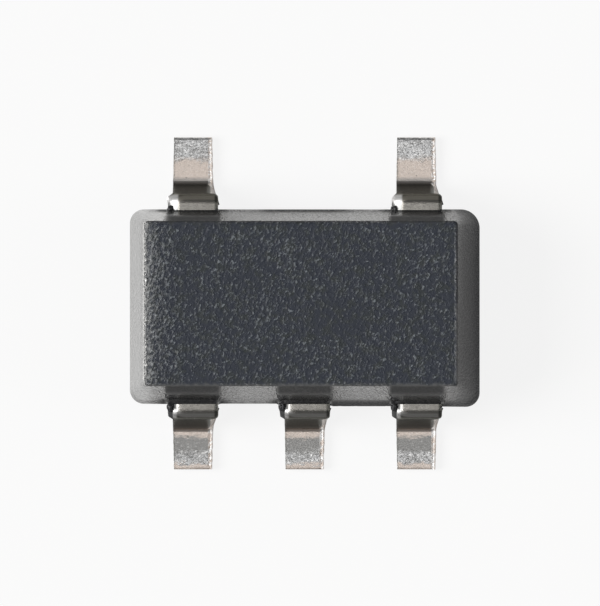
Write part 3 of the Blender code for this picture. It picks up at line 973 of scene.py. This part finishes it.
def formVert(vert, x, side, widths, seed):
    # s runs across from -1 to 1, q along the lead, and layer from the underside (0) to the top (1)
    sizes = leadSizes
    upperEnd, webEnd, lowerEnd, tip = leadRuns(side)
    innerEnd, blend = sizes["innerEnd"], sizes["bendBlend"]
    s, q, layer = vert.co
    if side > 0:
        s = -s
    innerShare = sizes["innerRows"] / (sizes["innerRows"] + sizes["outerRows"])
    q = (q + 1) / 2
    if q < innerShare:
        run = widths[0][0] + (innerEnd - widths[0][0]) * q / innerShare
    else:
        run = innerEnd + (tip - innerEnd) * (q - innerShare) / (1 - innerShare)
    half = along(run, widths) / 2
    # the right-hand cut face leans inwards above, and outwards below on the web
    onFoot = ease(run, webEnd, lowerEnd)
    pastBend = ease(run, upperEnd - blend, upperEnd + blend)
    onWeb = pastBend * (1 - onFoot)
    lean = (sizes["footSlant"] * onFoot + sizes["webSlant"] * onWeb) * layer
    flare = sizes["webFlare"] * onWeb * (1 - layer)
    right = half - lean + flare
    left = min(half, sizes["leftReach"]) if run > innerEnd - blend else half
    faceWave, edgeWave = sizes["cutWaves"]
    right -= faceWave * onFoot * max(noiseAt(run * 16, seed, 2.0), 0.0)
    # columns crowd towards both edges, where the rounding is
    crowded = (1 + 1.35 * s - 0.35 * s**3) / 2
    across = -left + (right + left) * crowded
    if abs(s) > 0.99:
        across += edgeWave * noiseAt(run * 30, s, seed)
    rightGap = right - across
    leftGap = left + across
    t = sizes["thickness"]
    shoulder = 1 - pastBend
    leftDrop = edgeDrop(leftGap, *sizes["footLeftEdge"])
    leftDrop += shoulder * (edgeDrop(leftGap, *sizes["leftEdge"]) - leftDrop)
    rightDrop = edgeDrop(rightGap, *sizes["rightEdge"])
    rightDrop += shoulder * (edgeDrop(rightGap, *sizes["shoulderRightEdge"]) - rightDrop)
    topHeight = t / 2 - rightDrop - leftDrop
    topHeight -= edgeDrop(max(tip - run, 0.0), *sizes["tipEdge"][side > 0])
    underLeft, underRight = sizes["undersideEdges"]
    bottomHeight = -t / 2 + edgeDrop(rightGap, *underRight) + edgeDrop(leftGap, *underLeft)
    footShare = ease(run, *(tip - before for before in sizes["dentFrom"]))
    dents = noiseAt(across * 21, run * 24, seed)
    topHeight -= sizes["dent"] * footShare * (0.5 + 0.5 * dents)
    topHeight -= sizes["ripple"] * (0.5 + 0.5 * noiseAt(across * 6, run * 7, seed + 9))
    height = bottomHeight + (topHeight - bottomHeight) * layer
    # a burr where the dam bar was cut away from lead 5
    if side > 0 and x < 0 and s < -0.9:
        reach, width = sizes["burr"]
        across -= reach * layer * math.exp(-(((run - upperEnd + width / 2) / width) ** 2))
    out, middle, slope = leadPath(run)
    vert.co = (
        x + across,
        side * (sizes["bendStart"] + out + height * math.sin(slope)) + sizes["rowShift"],
        middle + height * math.cos(slope),
    )


for place in leadPlaces:
    makeLead(*place)
print("leads formed")


crumbSizes = {
    "left": {"offset": -0.194, "radii": (0.027, 0.040, 0.030)},
    "right": {"offset": 0.198, "radii": (0.016, 0.026, 0.022)},
    "lowerY": -0.878,
    "upperY": 0.790,
    "height": 0.628,
    "roughness": 0.32,
}


def makeCrumbs():
    # resin left on the cut sides of the leads, between the body and the dam bar's place
    sizes = crumbSizes
    bm = bmesh.new()
    for number, x, side in leadPlaces:
        for order, edge in enumerate(("left", "right")):
            crumb = sizes[edge]
            middle = Vector((x + crumb["offset"], sizes["upperY" if side > 0 else "lowerY"], sizes["height"]))
            made = bmesh.ops.create_icosphere(bm, subdivisions=4, radius=1.0)["verts"]
            for vert in made:
                lump = 1 + sizes["roughness"] * noise.noise(vert.co * 1.6 + Vector((number, order, 3)))
                lump += 0.5 * sizes["roughness"] * noise.noise(vert.co * 4.1 + Vector((number, order, 8)))
                vert.co = middle + Vector(c * r * lump for c, r in zip(vert.co, crumb["radii"]))
    crumbs = finishPiece(bm, "resin_crumbs", epoxy, 60)
    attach(crumbs, "root")


makeCrumbs()
print("resin crumbs left on the leads")


# pairs are of the low and the high end of the variation
innerLooks = {
    "siliconDie": {
        "tones": (colour(0.12, 0.13, 0.17), colour(0.22, 0.22, 0.24)),
        "rough": (0.08, 0.22), "metal": 0.4,
    },
    "silverAdhesive": {
        "tones": (colour(0.32, 0.31, 0.30), colour(0.66, 0.66, 0.64)),
        "rough": (0.7, 0.4), "metal": 0.6,
    },
    "goldWire": {
        "tones": (colour(0.90, 0.62, 0.24), colour(1.0, 0.76, 0.36)),
        "rough": (0.14, 0.30), "metal": 1.0,
    },
    "circuitBlock": 0.05,
    "flakeDepth": 0.000002,  # in metres
}


def varied(name, shader, tone, sheen):
    look = innerLooks[name]
    feedAll(shader, {
        "Base Color": mixColour(tone, *look["tones"]),
        "Roughness": mixValue(sheen, *look["rough"]),
        "Metallic": look["metal"],
    })


def makeInnerMaterials():
    # the die, its adhesive and the wires keep their solids and get their own finish
    silicon, shader = newMaterial("siliconDie")
    plain = millimetres()
    blocks = addNode("TexVoronoi", {"Vector": plain, "Scale": 1 / innerLooks["circuitBlock"]})
    tone = addNode("SeparateColor", {0: blocks.outputs["Color"]}).outputs[0]
    varied("siliconDie", shader, tone, speckle(plain, 0.02))

    adhesive, shader = newMaterial("silverAdhesive")
    flakes = speckle(millimetres(), 0.008, 3.0, 0.7)
    varied("silverAdhesive", shader, flakes, flakes)
    feed(shader.inputs["Normal"], bumped(flakes, innerLooks["flakeDepth"]))

    gold, shader = newMaterial("goldWire")
    drawn = speckle(millimetres(), 0.006, 2.0, 0.6)
    varied("goldWire", shader, drawn, drawn)

    finishes = {"silicon_die": silicon, "die_attach": adhesive}
    for number in range(1, 6):
        finishes[f"bond_wire_{number}"] = gold
    for node, material in finishes.items():
        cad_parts[node].data.materials.clear()
        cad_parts[node].data.materials.append(material)


makeInnerMaterials()
print("inner pieces finished")


studio = {
    "white": 0.952,
    "farTone": 0.12,  # of the surroundings mirrored beyond the floor near the chip
    "farShare": 0.9,
    "farFrom": (0.0020, 0.0036),
    "floorSize": 1.2,
    "floorDrop": 0.002,
    "floorColour": colour(0.92, 0.915, 0.905),
    "cameraShare": 0.90,
    "glossyShare": 0.15,
    "worldStrength": 0.16,
    "viewHeight": 5.149,  # millimetres over the height of the image
    "lens": 1300.0,
    "focusHeight": 0.0004,
    "centre": (-0.0405, 0.003),
}


def makeFloor():
    # it glows white to the camera, and to mirrors only near the chip
    bm = bmesh.new()
    bmesh.ops.create_grid(bm, x_segments=1, y_segments=1, size=studio["floorSize"] / 2 / millimetre)
    bmesh.ops.translate(bm, vec=(0, 0, -studio["floorDrop"]), verts=bm.verts)
    material, shader = newMaterial("paleFloor")
    finish = {"Base Color": studio["floorColour"], "Roughness": 0.9, "Specular IOR Level": 0.1}
    feedAll(shader, finish)
    rays = addNode("LightPath").outputs
    place = addNode("TexCoord").outputs["Object"]
    distance = addNode("VectorMath", {0: place}, operation="LENGTH").outputs["Value"]
    far = fade(distance, *studio["farFrom"])
    mirrored = plus(rays["Is Glossy Ray"], rays["Is Transmission Ray"], clamp=True)
    tone = mixColour(times(far, mirrored), grey(studio["white"]), grey(studio["farTone"]))
    glow = addNode("Emission", {"Color": tone, "Strength": 1.0})
    seen = times(rays["Is Camera Ray"], studio["cameraShare"])
    mirrored = times(mirrored, mixValue(far, studio["glossyShare"], studio["farShare"]))
    share = plus(seen, mirrored, clamp=True)
    mixed = addNode("MixShader", {0: share, 1: shader.outputs[0], 2: glow.outputs[0]})
    feed(canvas.tree.nodes["Material Output"].inputs["Surface"], mixed.outputs[0])
    floor = finishPiece(bm, "floor", material, 30)


def makeWorld():
    world = bpy.data.worlds.new("studio")
    scene.world = world
    world.use_nodes = True
    canvas.tree = world.node_tree
    light = canvas.tree.nodes["Background"]
    feedAll(light, {"Color": grey(1.0), "Strength": studio["worldStrength"]})
    white = addNode("Background", {"Color": grey(studio["white"]), "Strength": 1.0})
    rays = addNode("LightPath").outputs
    mixed = addNode("MixShader", {0: rays["Is Camera Ray"], 1: light.outputs[0], 2: white.outputs[0]})
    feed(canvas.tree.nodes["World Output"].inputs["Surface"], mixed.outputs[0])


softboxes = {
    "keyLeft": {"place": (-0.42, 0.0, 0.40), "size": (0.32, 0.32), "power": 4.15},
    "overhead": {"place": (0.0, 0.0, 0.70), "size": (0.50, 0.17), "power": 0.36},
    "rimRight": {"place": (0.45, -0.02, 0.30), "size": (0.22, 0.36), "power": 0.6},
}


def addSoftbox(name, place, size, power):
    lamp = bpy.data.lights.new(name, "AREA")
    lamp.shape = "RECTANGLE"
    lamp.size, lamp.size_y = size
    lamp.energy = power
    box = bpy.data.objects.new(name, lamp)
    box.location = place
    box.rotation_euler = Vector(place).to_track_quat("Z", "Y").to_euler()
    box.visible_camera = False
    scene.collection.objects.link(box)


def addCamera():
    lens = bpy.data.cameras.new("camera")
    lens.lens = studio["lens"]
    lens.clip_start = 0.01
    lens.clip_end = 10.0
    camera = bpy.data.objects.new("camera", lens)
    reach = studio["viewHeight"] * millimetre * studio["lens"] / lens.sensor_width
    centreX, centreY = studio["centre"]
    # the image is 600 by 606, so its height takes the whole sensor width
    camera.location = (centreX * millimetre, centreY * millimetre, reach + studio["focusHeight"])
    scene.collection.objects.link(camera)
    scene.camera = camera


makeFloor()
makeWorld()
for name, box in softboxes.items():
    addSoftbox(name, **box)
addCamera()
scene.view_settings.view_transform = "Standard"
print("studio set")
